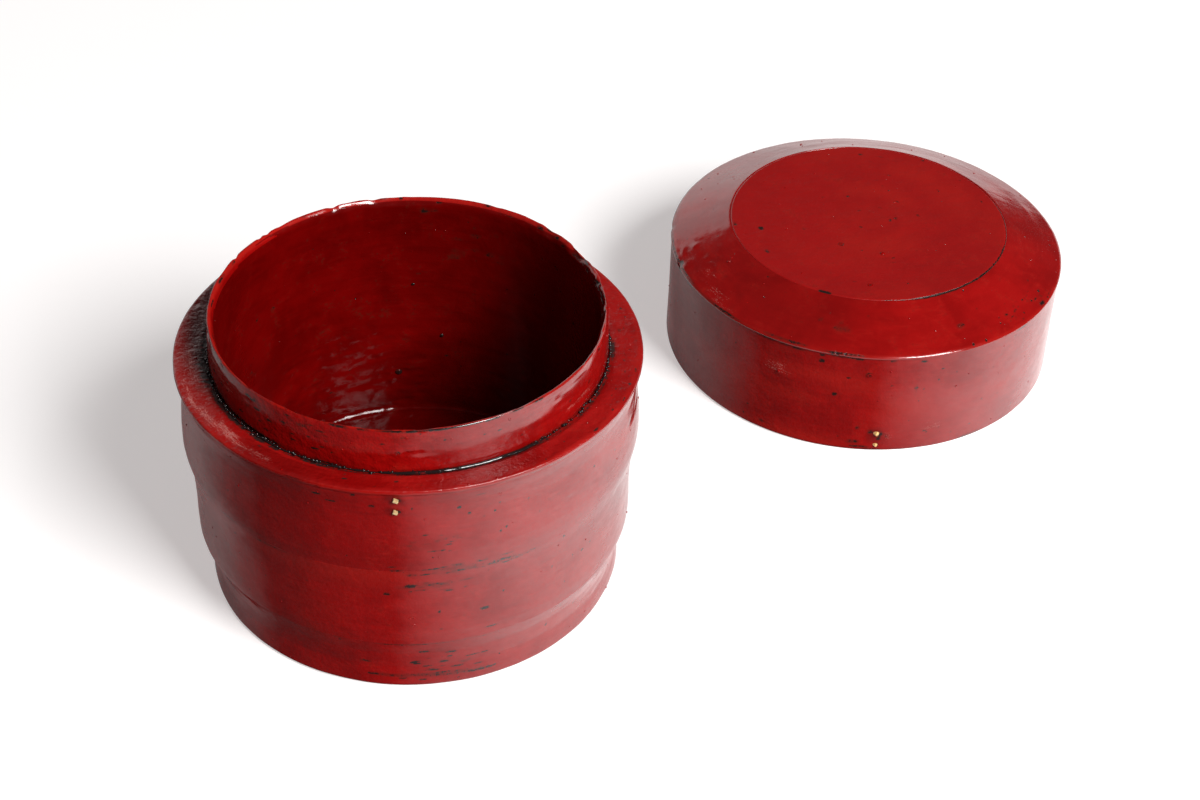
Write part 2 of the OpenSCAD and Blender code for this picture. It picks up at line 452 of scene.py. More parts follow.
# Points along a profile at an even pitch. A corner is (radius, height) or
# (radius, height, rounding, pitch); a pitch holds up to the next corner.
def profile(corners, pitch, closed=True):
    full = [(*c, 0.0)[:3] if len(c) < 3 else c[:3] for c in corners]
    steps = [c[3] if len(c) > 3 else pitch for c in corners]
    path = []
    count = len(full)
    for i, (r, z, rounding) in enumerate(full):
        here = Vector((r, z))
        if rounding and (closed or 0 < i < count - 1):
            before = Vector(full[i - 1][:2]) - here
            after = Vector(full[(i + 1) % count][:2]) - here
            size = min(rounding, before.length * 0.49, after.length * 0.49)
            start = here + before.normalized() * size
            end = here + after.normalized() * size
            bends = max(3, int(size / 0.18))
            for k in range(bends + 1):
                t = k / bends
                path.append(((1 - t) ** 2 * start + 2 * t * (1 - t) * here + t * t * end, steps[i]))
        else:
            path.append((here, steps[i]))
    points = []
    pairs = len(path) if closed else len(path) - 1
    for i in range(pairs):
        a, step = path[i]
        b = path[(i + 1) % len(path)][0]
        parts = max(1, int(round((b - a).length / step)))
        points += [a.lerp(b, k / parts) for k in range(parts)]
    if not closed:
        points.append(path[-1][0])
    return points


turnedPiece = turnedTree()


# Where a soft outline is given, it holds for the outside of the wall below the ledge.
softFrom = dict(radius=53, below=67)


def turn(name, corners, pitch, columns, centre, size, material, closed=True, soft=None):
    points = profile(corners, pitch, closed)
    eased = [p.x if soft is None or p.x < softFrom["radius"] or p.y > softFrom["below"]
             else float(np.interp(p.y, *zip(*soft))) for p in points]
    start = bpy.data.meshes.new(name + ".profile")
    start.from_pydata([(p.x * mm, r * mm, p.y * mm) for p, r in zip(points, eased)], [], [])
    values = {"Columns": columns, "Closed": int(closed), "Centre": (centre[0] * mm, centre[1] * mm, 0),
              "Material": material}
    values.update({key: float(value) * mm for key, value in size.items()})
    made = grown(name, turnedPiece, start, values)
    print("turned", name, len(made.data.polygons), "faces")
    return made


# A second lacquer on the faces that the test picks.
def recoat(piece, material, picked):
    piece.data.materials.append(material)
    for face in piece.data.polygons:
        x, y, z = face.center / mm
        face.material_index = 1 if picked(math.hypot(x, y), z, face.normal) else 0


# The vertices round an axis: the place of each, its radius, its angle, its level and whether the
# region holds it. The level is the height on a wall and the radius on a flat.
def roundAxis(piece, centre, level="height", keep=None):
    flat = np.empty(len(piece.data.vertices) * 3)
    piece.data.vertices.foreach_get("co", flat)
    place = flat.reshape(-1, 3) / mm
    x = place[:, 0] - centre[0]
    y = place[:, 1] - centre[1]
    radius = np.hypot(x, y)
    chosen = np.ones(len(place), dtype=bool) if keep is None else keep(radius, place[:, 2])
    levels = place[:, 2] if level == "height" else radius
    return place, radius, np.degrees(np.arctan2(x, -y)), levels, chosen


# How far round each vertex lies from an angle, in mm.
def runFrom(angle, radius, here):
    return np.radians((angle - here + 180) % 360 - 180) * radius


# Marks of age. Each is (angle, level, length, width, strength); its length runs round the piece.
def paint(piece, layer, marks, **region):
    attributes = piece.data.attributes
    _, radius, angle, across, chosen = roundAxis(piece, **region)
    total = np.zeros(len(radius))
    if layer in attributes:
        attributes[layer].data.foreach_get("value", total)
    else:
        attributes.new(layer, "FLOAT", "POINT")
    for markAngle, markLevel, length, width, strength in marks:
        run = runFrom(angle, radius, markAngle)
        amount = strength * np.exp(-(run / length) ** 4 - ((across - markLevel) / width) ** 2)
        total = np.where(chosen, np.maximum(total, amount), total)
    attributes[layer].data.foreach_set("value", np.clip(total, 0, 1).astype(np.float32))


# Moves vertices along their normals in round or long bumps: (angle, level, length, width, height).
def press(piece, bumps, **region):
    mesh = piece.data
    place, radius, angle, across, chosen = roundAxis(piece, **region)
    normals = np.empty(place.size)
    mesh.vertices.foreach_get("normal", normals)
    push = np.zeros(len(radius))
    for bumpAngle, bumpLevel, length, width, tall in bumps:
        run = runFrom(angle, radius, bumpAngle)
        push += tall * np.exp(-(run / length) ** 2 - ((across - bumpLevel) / width) ** 2)
    place += normals.reshape(-1, 3) * (push * chosen)[:, None]
    mesh.vertices.foreach_set("co", (place * mm).ravel())
    mesh.update()


def finish(piece, body, slotName, *nodes):
    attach(piece, body)
    if nodes:
        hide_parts(*nodes)


random = np.random.default_rng(27)


# Seeded marks: each row is a count and the ranges of the marks' numbers.
def scatter(*rows):
    return [tuple(random.uniform(*span) for span in spans) for count, *spans in rows for _ in range(count)]


boxRed = redLacquer("boxRedLacquer", boxAxis, varnish=1.0)
# the ledge's ground coat is set lighter and greyer than elsewhere: black where worn through, with a painted
# sheen on it
ledgeRed = redLacquer("ledgeRedLacquer", boxAxis, radial=True, red=(0.30, 0.0045, 0.0040),
                      ground=(0.026, 0.012, 0.011), roughness=0.31, crumbDepth=0.26)
collarRed = redLacquer("collarRedLacquer", boxAxis, varnish=1.0, peelDepth=0.32, peelSize=2.6,
                       crumbDepth=0.36)
shaded = dict(red=(0.140, 0.0007, 0.0007), deepRed=(0.090, 0.0004, 0.0004), warmRed=(0.20, 0.002, 0.0015),
              roughness=0.15, index=1.36)
insideRed = redLacquer("insideRedLacquer", boxAxis, **shaded, mottled=0.60, speckShare=0.13, brushPitch=1.8,
                       peelDepth=0.15, peelSize=4.0, crumbDepth=0.06)
floorRed = redLacquer("cavityFloorLacquer", boxAxis, flat=True, **shaded, mottled=0.45, peelDepth=0.10,
                      crumbDepth=0.10)
lidRed = redLacquer("lidRedLacquer", lidAxis, varnish=1.0)
shoulderRed = redLacquer("shoulderRedLacquer", lidAxis, index=1.50, roughness=0.15, peelDepth=0.05,
                        crumbDepth=0.024)
discRed = redLacquer("discRedLacquer", lidAxis, flat=True, red=(0.300, 0.0040, 0.0040),
                     deepRed=(0.268, 0.0036, 0.0036), roughness=0.30, brushDepth=0.006,
                     peelDepth=0.14, crumbDepth=0.07)
blackBead = blackLacquer("blackLacquer", blackLook)
boxPegEnd = pegMaterial("boxPegEnd", pale=(0.62, 0.45, 0.22), dark=(0.24, 0.12, 0.04))
lidPegEnd = pegMaterial("lidPegEnd", pale=(0.86, 0.56, 0.22), metal=0.35)
print("materials made")

handMade = {"Oval Foot": 0.25, "Oval Top": 0.75, "Height": 69, "Crease Rise": 1.0, "Bore": 51.2,
            "Outside": 54, "Lump Size": 17, "Lump Height": 0.45, "Lump Lift": 0.5, "Ripple Size": 6,
            "Ripple Height": 0.10, "Flat Foot": 4, "Seed": 3}

softWall = [
    (0.9, 54.4), (3, 54.4), (7, 54.3), (12, 55.0), (15, 55.8), (16.5, 56.2), (20, 56.6), (27, 56.8),
    (34, 57.0), (39, 57.45), (42, 57.85), (45, 58.2), (48, 58.35), (54, 58.1), (60, 57.8), (64, 58.05),
    (66.8, 58.5)]

# Lower hoop: drawn in at its waist, flaring to the seam with the middle hoop.
lowerHoop = turn("lower_hoop", [
    (50.62, 0.02, 0, 2), (53.6, 0.02, 0.7), (54.5, 0.9, 0.8), (54.3, 3.0), (53.8, 6.5), (53.8, 9.5),
    (54.5, 12.5), (55.4, 14.8, 1.0), (56.35, 16.35, 0.25), (56.3, 16.52, 0.1), (55.4, 16.54, 0, 2),
    (50.62, 16.54, 0, 2)],
    0.5, 720, boxAxis, handMade, boxRed, soft=[(0, 53.6)] + softWall)

# Middle hoop: nearly straight, its top running into the soft valley below the upper hoop.
middleHoop = turn("middle_hoop", [
    (50.62, 16.5, 0, 2), (55.6, 16.5), (56.4, 16.52, 0.1), (56.75, 17.0, 0.4), (56.9, 18.5), (56.9, 22),
    (56.75, 27), (56.8, 32), (57.0, 36), (57.25, 39, 2.0), (57.95, 42.0), (56.9, 42.03, 0, 2),
    (50.62, 42.03, 0, 2)], 0.5, 720, boxAxis, handMade, boxRed, soft=softWall)

# Upper hoop: waisted below the ledge, with the groove for the bead.
upperHoop = turn("upper_hoop", [
    (50.62, 42.0, 0, 2), (56.9, 42.0), (57.95, 42.0), (58.35, 43.6, 1.2), (58.55, 46), (58.45, 50),
    (58.1, 54), (57.6, 58.5), (57.35, 61.5), (57.5, 64.2), (58.3, 66.8), (58.95, 68.1, 0.5),
    (58.75, 68.85, 0.5), (57.7, 69.02, 0.6), (55.0, 68.85), (52.4, 68.8, 0.5), (51.7, 68.5),
    (50.62, 68.4, 0, 2)],
    0.42, 720, boxAxis, handMade, boxRed, soft=softWall)
recoat(upperHoop, ledgeRed, lambda radius, height, normal: normal.z > 0.5 and height > 67)

# Sleeve: the thin inner wall, with the collar standing above the ledge.
sleeveMade = {"Height": 200, "Bore": 40, "Outside": 200, "Lump Size": 15, "Lump Height": 0.20,
              "Lump Lift": 0.45, "Ripple Size": 5, "Ripple Height": 0.07, "Flat Foot": 60, "Seed": 8}
sleeve = turn("sleeve", [
    (50.55, 9.0, 0, 3), (50.55, 68.0, 0), (50.7, 70), (50.62, 73), (50.35, 79.9, 0.5),
    (50.15, 80.8, 0.35, 0.3), (49.6, 80.9, 0.4), (48.95, 80.2, 0.5), (48.55, 78.9, 0.8),
    (48.4, 76, 0, 1.2), (48.5, 42, 0, 0.5), (48.6, 14.0, 1.0), (48.6, 10.1, 1.0),
    (47.5, 9.0, 1.0)], 0.5, 560, boxAxis, sleeveMade, insideRed)
recoat(sleeve, collarRed, lambda radius, height, normal: (
    radius > 49.9 or height > 80.15 or (height > 78.9 and normal.x > 0.72)))

# Base board: its top is the cavity's floor, its underside the face the box stands on.
baseMade = {"Height": 200, "Bore": 60, "Outside": 200, "Lump Size": 14, "Lump Height": 0.0,
            "Lump Lift": 0.0, "Ripple Size": 5, "Ripple Height": 0.22, "Flat Foot": 30, "Seed": 5}
baseBoard = turn("base_board", [
    (0, 0.25, 0, 1.2), (46.5, 0.2, 0.4, 1.2), (47.5, 0.02, 0.3), (50.55, 0.02, 0, 2), (50.55, 9.0, 0, 1),
    (47.6, 9.1, 0.5), (0, 9.15)], 0.8, 512, boxAxis, baseMade, floorRed, closed=False)
print("box turned")

# Lid: skirt, sloping shoulder ring and flat disc.
lidMade = {"Height": 200, "Bore": 51.3, "Outside": 54, "Oval Foot": 0.1, "Oval Top": 0.1, "Lump Size": 18,
           "Lump Height": 0.22, "Lump Lift": 0.30, "Ripple Size": 6, "Ripple Height": 0.08,
           "Flat Foot": 6, "Seed": 40}
lidSkirt = turn("lid_skirt", [
    (52.25, 0.02, 0.25), (57.9, 0.02, 0.5), (58.5, 0.7, 0.6), (58.45, 8), (58.35, 20), (58.35, 30),
    (58.4, 33.32), (51.1, 33.32, 0, 1.2), (51.08, 1.2, 0.3)], 0.5, 680, lidAxis, lidMade, lidRed)

shoulderMade = dict(lidMade, **{"Bore": 38, "Outside": 58, "Oval Foot": 0, "Oval Top": 0})
lidShoulder = turn("lid_shoulder", [
    (51.1, 33.3, 0, 0.9), (58.3, 33.3), (58.72, 33.6, 0.3), (58.74, 34.0, 0.35), (58.1, 34.6, 0.5),
    (52.5, 37.0), (46.5, 39.45), (42.0, 41.40), (41.4, 41.64, 0.16), (41.2, 41.45), (41.2, 37.75),
    (39.25, 37.75), (39.25, 35.75, 0, 0.9)], 0.45, 720, lidAxis, shoulderMade, shoulderRed)

discMade = dict(lidMade, **{"Bore": 60, "Outside": 200, "Oval Foot": 0, "Oval Top": 0})
lidDisc = turn("lid_disc", [
    (0, 37.78, 0, 1.0), (41.0, 37.78, 0, 0.8), (41.18, 41.0), (41.16, 41.52, 0.14), (40.8, 41.69, 0.2),
    (39.5, 41.68), (0, 41.62)], 0.5, 640, lidAxis, discMade, discRed, closed=False)
print("lid turned")


# Seam bead: black lacquer run into the corner between ledge and collar.
bead = dict(radius=51.05, level=68.72, thick=0.34, wander=0.55, lumps=330, lumpLow=0.12, lumpHigh=0.50,
            seed=11)


def beadTree():
    net, given = openTree("seamBead", {
        "Geometry": ["Start"], "Float": ["Radius", "Level", "Thick", "Wander", "Lump Low", "Lump High"],
        "Int": ["Lumps", "Seed"], "Material": ["Material"]})
    ring = net.make("CurvePrimitiveCircle", {"Resolution": 720, "Radius": given["Radius"]})
    place = net.make("InputPosition")
    drift = net.add("ShaderNodeTexNoise", {}, {"Vector": place, "Scale": 260.0, "Detail": 3.0})["Color"]
    drift = net.vector("SUBTRACT", drift, (0.5, 0.5, 0.5))
    drift = net.vector("SCALE", drift, given["Wander"], "Scale")
    lifted = net.vector("ADD", drift, net.join(0.0, 0.0, given["Level"]))
    ring = net.make("SetPosition", {"Geometry": ring, "Offset": lifted})
    x, y, _ = net.split(place)
    # at the front right the lacquer ran in thin and smooth
    calm = ((x * 0.342 - y * 0.940) / given["Radius"]).step(0.88, 0.97)
    swell = net.noise(place, 420.0, 3.0, 0.6)
    starved = net.noise(place, 55.0, 2.0, 0.5).step(0.43, 0.58)
    thickness = 0.10 + (0.06 + starved * 0.94) * (0.2 + swell.step(0.3, 0.7) * 0.9) * (1 - calm * 0.2)
    ring = net.make("SetCurveRadius", {"Curve": ring, "Radius": thickness.atLeast(calm * 1.4)})
    profileRing = net.make("CurvePrimitiveCircle", {"Resolution": 14, "Radius": given["Thick"]})
    body = net.add("GeometryNodeCurveToMesh", {}, {"Curve": ring, "Profile Curve": profileRing})
    if "Scale" in body.node.inputs:
        net.put(body.node.inputs["Scale"], net.make("InputRadius"))
    points = net.make("ResampleCurve", {"Curve": ring, "Count": given["Lumps"]}, {"mode": "COUNT"})
    reach = {0: (-0.0003, -0.0003, -0.0001), 1: (0.0003, 0.0003, 0.0004), "Seed": given["Seed"]}
    stray = net.add("FunctionNodeRandomValue", {"data_type": "FLOAT_VECTOR"}, reach)["Value"]
    points = net.make("SetPosition", {"Geometry": points, "Offset": stray})
    drop = net.make("MeshIcoSphere", {"Radius": 1.0, "Subdivisions": 2})
    size = net.add("FunctionNodeRandomValue", {"data_type": "FLOAT"},
                   {2: given["Lump Low"], 3: given["Lump High"], "Seed": given["Seed"] + 3})[1]
    size = size * (1 - calm * 0.55)
    drops = net.make("InstanceOnPoints", {"Points": points, "Instance": drop, "Scale": size})
    return closeTree(net, net.joined(body["Mesh"], drops), given["Material"])


seamBead = grown("seam_bead", beadTree(), bpy.data.meshes.new("bead.start"), {
    "Radius": bead["radius"] * mm, "Level": bead["level"] * mm, "Thick": bead["thick"] * mm,
    "Wander": bead["wander"] * mm, "Lump Low": bead["lumpLow"] * mm, "Lump High": bead["lumpHigh"] * mm,
    "Lumps": bead["lumps"], "Seed": bead["seed"], "Material": blackBead})
print("bead run in", len(seamBead.data.polygons), "faces")


# Pegs: the box's are cut square, the lid's are round, both with a slightly domed end.
def pegPiece(name, shape, material):
    mesh = bpy.data.meshes.new(name)
    shape.to_mesh(mesh)
    shape.free()
    return placed(name, mesh, material)


# One band of faces between two rings; a ring of one vertex is a pole.
def bandBetween(shape, a, b):
    count = max(len(a), len(b))
    for i in range(count):
        j = (i + 1) % count
        if len(a) == 1:
            shape.faces.new((a[0], b[i], b[j]))
        elif len(b) == 1:
            shape.faces.new((a[i], a[j], b[0]))
        else:
            shape.faces.new((a[i], a[j], b[j], b[i]))


def squarePeg(name, centre, tip, size, material):
    shape = bmesh.new()
    corners = ((-1, -1), (1, -1), (1, 1), (-1, 1))
    outline = []
    for corner, after in zip(corners, corners[1:] + corners[:1]):
        for part in range(size["parts"]):
            s = part / size["parts"]
            # the sides give way a little towards the corners
            pull = 1 - 0.10 * max(0, abs(2 * s - 1) - 0.6)
            outline.append((corner[0] + (after[0] - corner[0]) * s,
                            corner[1] + (after[1] - corner[1]) * s, pull))
    rings = []
    for k in range(size["rows"] + 1):
        t = k / size["rows"]
        shrink = 1 - size["taper"] * (1 - t)
        y = tip + size["length"] * (1 - t) + (size["bevel"] if t == 1 else 0)
        rings.append([])
        for sideX, sideZ, pull in outline:
            px = sideX * size["wide"] / 2 * shrink
            pz = sideZ * size["tall"] / 2 * shrink
            rings[-1].append(shape.verts.new(((centre[0] + px * pull + pz * size["slant"]) * mm, y * mm,
                                              (centre[1] + pz * pull - px * size["drop"]) * mm)))
    for a, b in zip(rings, rings[1:]):
        bandBetween(shape, a, b)
    for ring, depth in ((rings[0], 0.0), (rings[-1], size["dome"])):
        middle = Vector((centre[0] * mm, ring[0].co.y - depth * mm, centre[1] * mm))
        inner = [shape.verts.new(v.co.lerp(middle, 0.35)) for v in ring]
        bandBetween(shape, ring, inner)
        bandBetween(shape, inner, [shape.verts.new(middle)])
    return pegPiece(name, shape, material)


def roundPeg(name, start, size, material):
    # start is the centre of the outer end, way the direction into the wood
    radius, length, dome = size["radius"], size["length"], size["dome"]
    shape = bmesh.new()
    away = Vector(size["way"]).normalized()
    side = away.cross(Vector((0, 0, 1))).normalized()
    up = side.cross(away)
    outline = [(0.0, -dome), (0.45, -dome * 0.8), (0.8, -dome * 0.35), (0.95, 0.0), (1.0, 0.12),
               (1.0, length * 0.5), (0.96, length * 0.85), (0.85, length), (0.0, length)]
    count = size["around"]
    rings = []
    for share, depth in outline:
        middle = Vector(start) + away * depth
        turns = [2 * math.pi * i / count for i in range(count)] if share else [0]
        spread = radius * share
        rings.append([shape.verts.new((middle + (side * math.cos(a) + up * math.sin(a)) * spread) * mm)
                      for a in turns])
    for a, b in zip(rings, rings[1:]):
        bandBetween(shape, a, b)
    return pegPiece(name, shape, material)


boxPegs = dict(wide=1.16, tall=0.60, length=5.2, slant=0.5, drop=0.42, taper=0.22, bevel=0.05, dome=0.10,
               rows=10, parts=6)
boxPegUpper = squarePeg("box_peg_upper", (-0.2, 66.0), -58.46, boxPegs, boxPegEnd)
boxPegLower = squarePeg("box_peg_lower", (-0.4, 62.0), -57.98, dict(boxPegs, wide=1.05), boxPegEnd)
lidPegs = dict(radius=0.70, length=5.0, dome=0.22, around=40, way=(-0.60876, 0.79335, 0.0))
lidPegUpper = roundPeg("lid_peg_upper", (lidAxis[0], lidAxis[1] - 58.55, 6.5), lidPegs, lidPegEnd)
lidPegLower = roundPeg("lid_peg_lower", (lidAxis[0], lidAxis[1] - 58.6, 2.4),
                       dict(lidPegs, radius=0.56, dome=0.2), lidPegEnd)
print("pegs cut")


def region(centre, level, keep):
    return dict(centre=centre, level=level, keep=keep)


# Regions that marks, bumps and nibs keep to.
wall = region(boxAxis, "height", lambda radius, height: radius > 53.0)
inside = region(boxAxis, "height", lambda radius, height: (radius < 49.3) & (height > 9.5))
collar = region(boxAxis, "height", lambda radius, height: (radius > 49.8) & (height > 68.5))
rim = region(boxAxis, "height", lambda radius, height: height > 79)
rimInside = region(boxAxis, "height", lambda radius, height: (height > 79) & (radius < 49.8))
rimEdge = region(boxAxis, "radius", lambda radius, height: height > 80.3)
rimTop = region(boxAxis, "height", lambda radius, height: radius < 50.2)
ledge = region(boxAxis, "radius", lambda radius, height: height > 67.6)
ledgeTop = region(boxAxis, "radius", lambda radius, height: height > 68)
cavityFloor = region(boxAxis, "radius", lambda radius, height: height > 8.5)
skirt = region(lidAxis, "height", lambda radius, height: radius > 55)
skirtSide = region(lidAxis, "height", lambda radius, height: radius > 57)
shoulder = region(lidAxis, "radius", None)
lidTop = region(lidAxis, "radius", lambda radius, height: height > 40)
topSide = region(lidAxis, "radius",
                 lambda radius, height: height > np.minimum(40, 33.9 + (58.3 - radius) * 0.4))
allRound = (-180, 180)


# A list of spots (angle, level) as marks of one size.
def spots(places, size, strength=0.95):
    return [(angle, level, size, size, strength) for angle, level in places]


# Wear on the wall of the box.
wallWorn = [
    (8.5, 42.6, 9, 1.5, 0.44), (20, 42.2, 10, 1.3, 0.48), (30.8, 41.9, 7, 1.0, 0.40),
    (12, 53.4, 3.5, 1.2, 0.36), (6, 50.5, 3, 1.0, 0.30), (2, 36.8, 5, 1.2, 0.40),
    (10, 37.6, 6, 1.1, 0.42), (15.9, 38.6, 4, 1.0, 0.34), (11.9, 35.1, 1.4, 0.45, 0.95),
    (21.1, 26.6, 1.3, 0.5, 0.95), (22.9, 19.6, 2.2, 0.5, 0.9), (-3.5, 34.7, 1.0, 0.6, 0.95),
    (2.4, 37.5, 1.6, 0.8, 0.8), (-19.5, 65.1, 1.4, 0.4, 0.9), (-16.1, 63.6, 1.8, 0.4, 0.9),
    (-10.3, 67.0, 0.7, 0.5, 0.9), (-6.0, 63.5, 1.0, 0.6, 0.7), (20.2, 65.1, 1.6, 0.35, 0.8),
    (0.4, 4.2, 9, 1.0, 0.62), (10, 4.0, 9, 1.3, 0.66), (19.6, 3.6, 6, 0.8, 0.62),
    (5.4, 13.2, 1.8, 0.5, 0.85), (12.3, 12.2, 1.8, 0.5, 0.85), (10.5, 8.6, 1.6, 0.6, 0.9),
    (14, 6.2, 2.0, 0.5, 0.85), (-10.7, 8.6, 1.6, 0.5, 0.8), (-8.8, 4.2, 1.6, 0.5, 0.8),
    (-40, 44.6, 6, 0.7, 0.42), (-34, 42.2, 7, 0.8, 0.50), (-48, 43.6, 5, 0.7, 0.45),
    (0.2, 65.85, 0.95, 0.72, 0.95), (0.0, 61.85, 0.9, 0.7, 0.95), (12, 42.0, 13, 2.8, 0.28),
    (6, 52, 8, 3.6, 0.24), (9, 37, 9, 2.4, 0.27), (8, 5.5, 12, 3.6, 0.26)]
wallWorn += spots([
    (14.8, 62.1), (17.2, 59.7), (23.6, 58.7), (24.9, 60.8), (32.6, 59.2), (35.5, 53.9), (53.9, 57.4),
    (26.4, 52.9), (24.9, 52.2), (43.6, 40.9), (51.2, 31.1), (40.4, 32.1), (45.0, 24.1), (40.4, 10.5),
    (3.5, 62.9), (26.1, 30.8), (9.4, 28.1)], 0.42)
wallWorn += [
    (-2, 16.6, 6, 0.3, 0.60), (8, 16.6, 9, 0.3, 0.66), (20, 16.5, 8, 0.3, 0.56),
    (-16, 16.8, 3, 0.3, 0.58), (70, 16.6, 12, 0.3, 0.5), (120, 16.6, 20, 0.35, 0.6),
    (170, 16.5, 18, 0.35, 0.6), (-110, 16.6, 22, 0.35, 0.6)]
wallWorn += scatter(
    (26, (-2, 34), (41.0, 44.6), (0.7, 2.4), (0.2, 0.45), (0.55, 0.85)),
    (14, (-3, 17), (35.4, 38.6), (0.6, 2.2), (0.2, 0.4), (0.5, 0.85)),
    (14, (2, 15), (48.5, 55), (0.5, 1.5), (0.2, 0.35), (0.45, 0.75)),
    (34, (-2, 22), (1.5, 11), (0.4, 1.6), (0.2, 0.4), (0.6, 0.9)),
    (22, (75, 290), (2, 66), (1.0, 6.0), (0.35, 0.9), (0.45, 0.80)))
wallWorn += spots(np.column_stack((random.uniform(-75, 300, 90), random.uniform(2, 67, 90))), 0.36, 0.85)
for hoop in (lowerHoop, middleHoop, upperHoop):
    paint(hoop, "worn", wallWorn, **wall)
    # darker red: the first three marks, at the front left away from the softbox, are painted shade; the two
    # just left of the pegs are painted peg shadows; the scattered ones are darker lacquer
    paint(hoop, "deep_tone_and_shade", [(-31, 62, 12, 26, 0.80), (-31, 20, 12, 24, 0.40), (-24, 8, 10, 12, 0.30),
                         (-1.4, 65.8, 2.0, 1.4, 0.9), (-1.6, 61.9, 1.8, 1.2, 0.9)]
          + scatter((10, (60, 280), (0, 69), (6, 18), (4, 12), (0.2, 0.6))), **wall)
    paint(hoop, "thin", scatter((16, allRound, (0, 69), (8, 26), (2, 7), (0.3, 0.8))), **wall)

# Lacquer heaped round the pegs, and dents and lumps under the lacquer.
heaps = [
    (1.9, 66.3, 1.1, 1.3, 0.34), (1.7, 62.2, 1.0, 1.2, 0.32), (-1.3, 65.7, 1.7, 1.4, -0.32),
    (-1.6, 61.8, 1.6, 1.3, -0.30)]
heaps += scatter(
    (90, allRound, (2, 66), (1.2, 5.0), (0.8, 2.4), (-0.12, 0.12)),
    (190, allRound, (1.5, 67), (0.8, 2.6), (0.6, 1.3), (-0.07, 0.07)))
for hoop in (lowerHoop, middleHoop, upperHoop):
    press(hoop, heaps, **wall)

# Ledge: rubbed through along the bead, most at the back left, and scuffed at the front left, where the pale
# scuffs are also painted glints.
ledgeWorn = [
    (-92, 51.2, 34, 4.4, 0.60), (-92, 51.2, 26, 1.7, 0.95), (-104, 52.6, 14, 2.2, 0.72),
    (-78, 52.2, 12, 1.8, 0.7), (-120, 52.2, 20, 1.6, 0.7), (-58, 51.6, 12, 1.0, 0.86),
    (-42, 51.6, 3, 0.9, 0.92), (-36, 51.7, 2, 0.8, 0.9), (-30, 51.6, 3, 0.5, 0.7),
    (-22, 51.7, 5, 0.8, 0.88), (-10, 51.5, 8, 0.5, 0.66), (14, 51.5, 16, 0.45, 0.62),
    (42, 51.5, 14, 0.4, 0.62), (68, 51.6, 14, 0.55, 0.72), (88, 51.8, 5, 0.8, 0.8),
    (113, 51.8, 9, 0.7, 0.75), (150, 51.8, 34, 0.9, 0.7), (-150, 52.0, 30, 1.3, 0.75),
    (-13, 54.7, 1.0, 0.3, 0.85), (97, 54.0, 0.9, 0.4, 0.9), (93, 55.4, 0.5, 0.3, 0.85),
    (80, 58.2, 1.0, 0.3, 0.9), (74, 58.0, 0.8, 0.3, 0.85), (68, 58.4, 1.0, 0.3, 0.9),
    (54, 58.2, 1.2, 0.3, 0.9), (72, 56.4, 0.6, 0.3, 0.8), (-39, 53.4, 0.7, 0.3, 0.9)]
ledgeWorn += scatter(
    (22, (50, 110), (54, 58.6), (0.2, 0.7), (0.14, 0.26), (0.7, 0.95)),
    (20, allRound, (53, 58.6), (0.2, 0.6), (0.15, 0.3), (0.6, 0.95)))
# pale scuffs on the ledge, brightened as painted glints
ledgeScuffsAndGlints = [
    (-66, 57.4, 9, 1.2, 0.60), (-57, 56.6, 6, 1.5, 0.70), (-50, 55.6, 6, 1.7, 0.72),
    (-44, 56.2, 6, 1.4, 0.62), (-36, 56.2, 4, 1.2, 0.52), (-80, 55.2, 12, 2.6, 0.46),
    (-100, 55.0, 12, 2.6, 0.46)]
paint(upperHoop, "worn", ledgeWorn, **ledge)
paint(upperHoop, "scuffs_and_glints", ledgeScuffsAndGlints, **ledge)
# a lighter line all round the ledge's outer edge: thinner lacquer on the edge, and a painted edge highlight
paint(upperHoop, "thin", [(0, 58.4, 400, 0.5, 0.45)], **ledge)
# darker red over the left of the ledge, the side away from the softbox: painted shade
paint(upperHoop, "deep_tone_and_shade", [(-82, 56, 26, 4.5, 0.6)], **ledge)
ledgeHeaps = scatter((46, allRound, (53.5, 58.5), (1.5, 6), (0.6, 1.6), (-0.10, 0.08)))
ledgeHeaps += scatter(
    (70, allRound, (58.0, 59.0), (0.9, 3.0), (0.4, 0.8), (-0.20, 0.13)),
    (60, (-95, -30), (53.5, 58.4), (0.5, 1.6), (0.3, 0.8), (-0.07, 0.07)))
press(upperHoop, ledgeHeaps, **ledge)

# Collar: black along its foot, dashes and pits, a dark broken line round the rim.
collarWorn = [
    (-85, 69.2, 34, 1.6, 0.92), (-48, 69.1, 16, 1.1, 0.80), (-20, 69.0, 5, 0.7, 0.66),
    (25, 68.8, 26, 0.5, 0.52), (60, 69.0, 20, 0.6, 0.64), (95, 69.1, 12, 0.8, 0.74),
    (150, 69.1, 50, 1.0, 0.78), (-150, 69.1, 50, 1.2, 0.8), (-21, 77.9, 1.5, 0.4, 0.9),
    (-27, 78.2, 1.7, 0.4, 0.9), (-24, 79.0, 1.0, 0.3, 0.8), (-33, 76.8, 1.3, 0.35, 0.85),
    (-38, 75.2, 1.2, 0.4, 0.85), (-30, 74.4, 0.9, 0.35, 0.8), (-44, 78.4, 1.4, 0.5, 0.85),
    (0.3, 74.6, 0.9, 0.6, 0.9), (12.9, 77.6, 0.6, 0.4, 0.8), (28.4, 76.9, 0.7, 0.4, 0.8),
    (64, 74.6, 0.8, 0.5, 0.85), (-95, 80.2, 26, 0.45, 0.72), (-66, 79.9, 12, 0.45, 0.70)]
collarWorn += scatter(
    (30, (-75, -15), (72, 80), (0.3, 1.3), (0.25, 0.45), (0.7, 0.95)),
    (26, (-15, 180), (71, 80), (0.3, 0.9), (0.25, 0.4), (0.6, 0.9)))
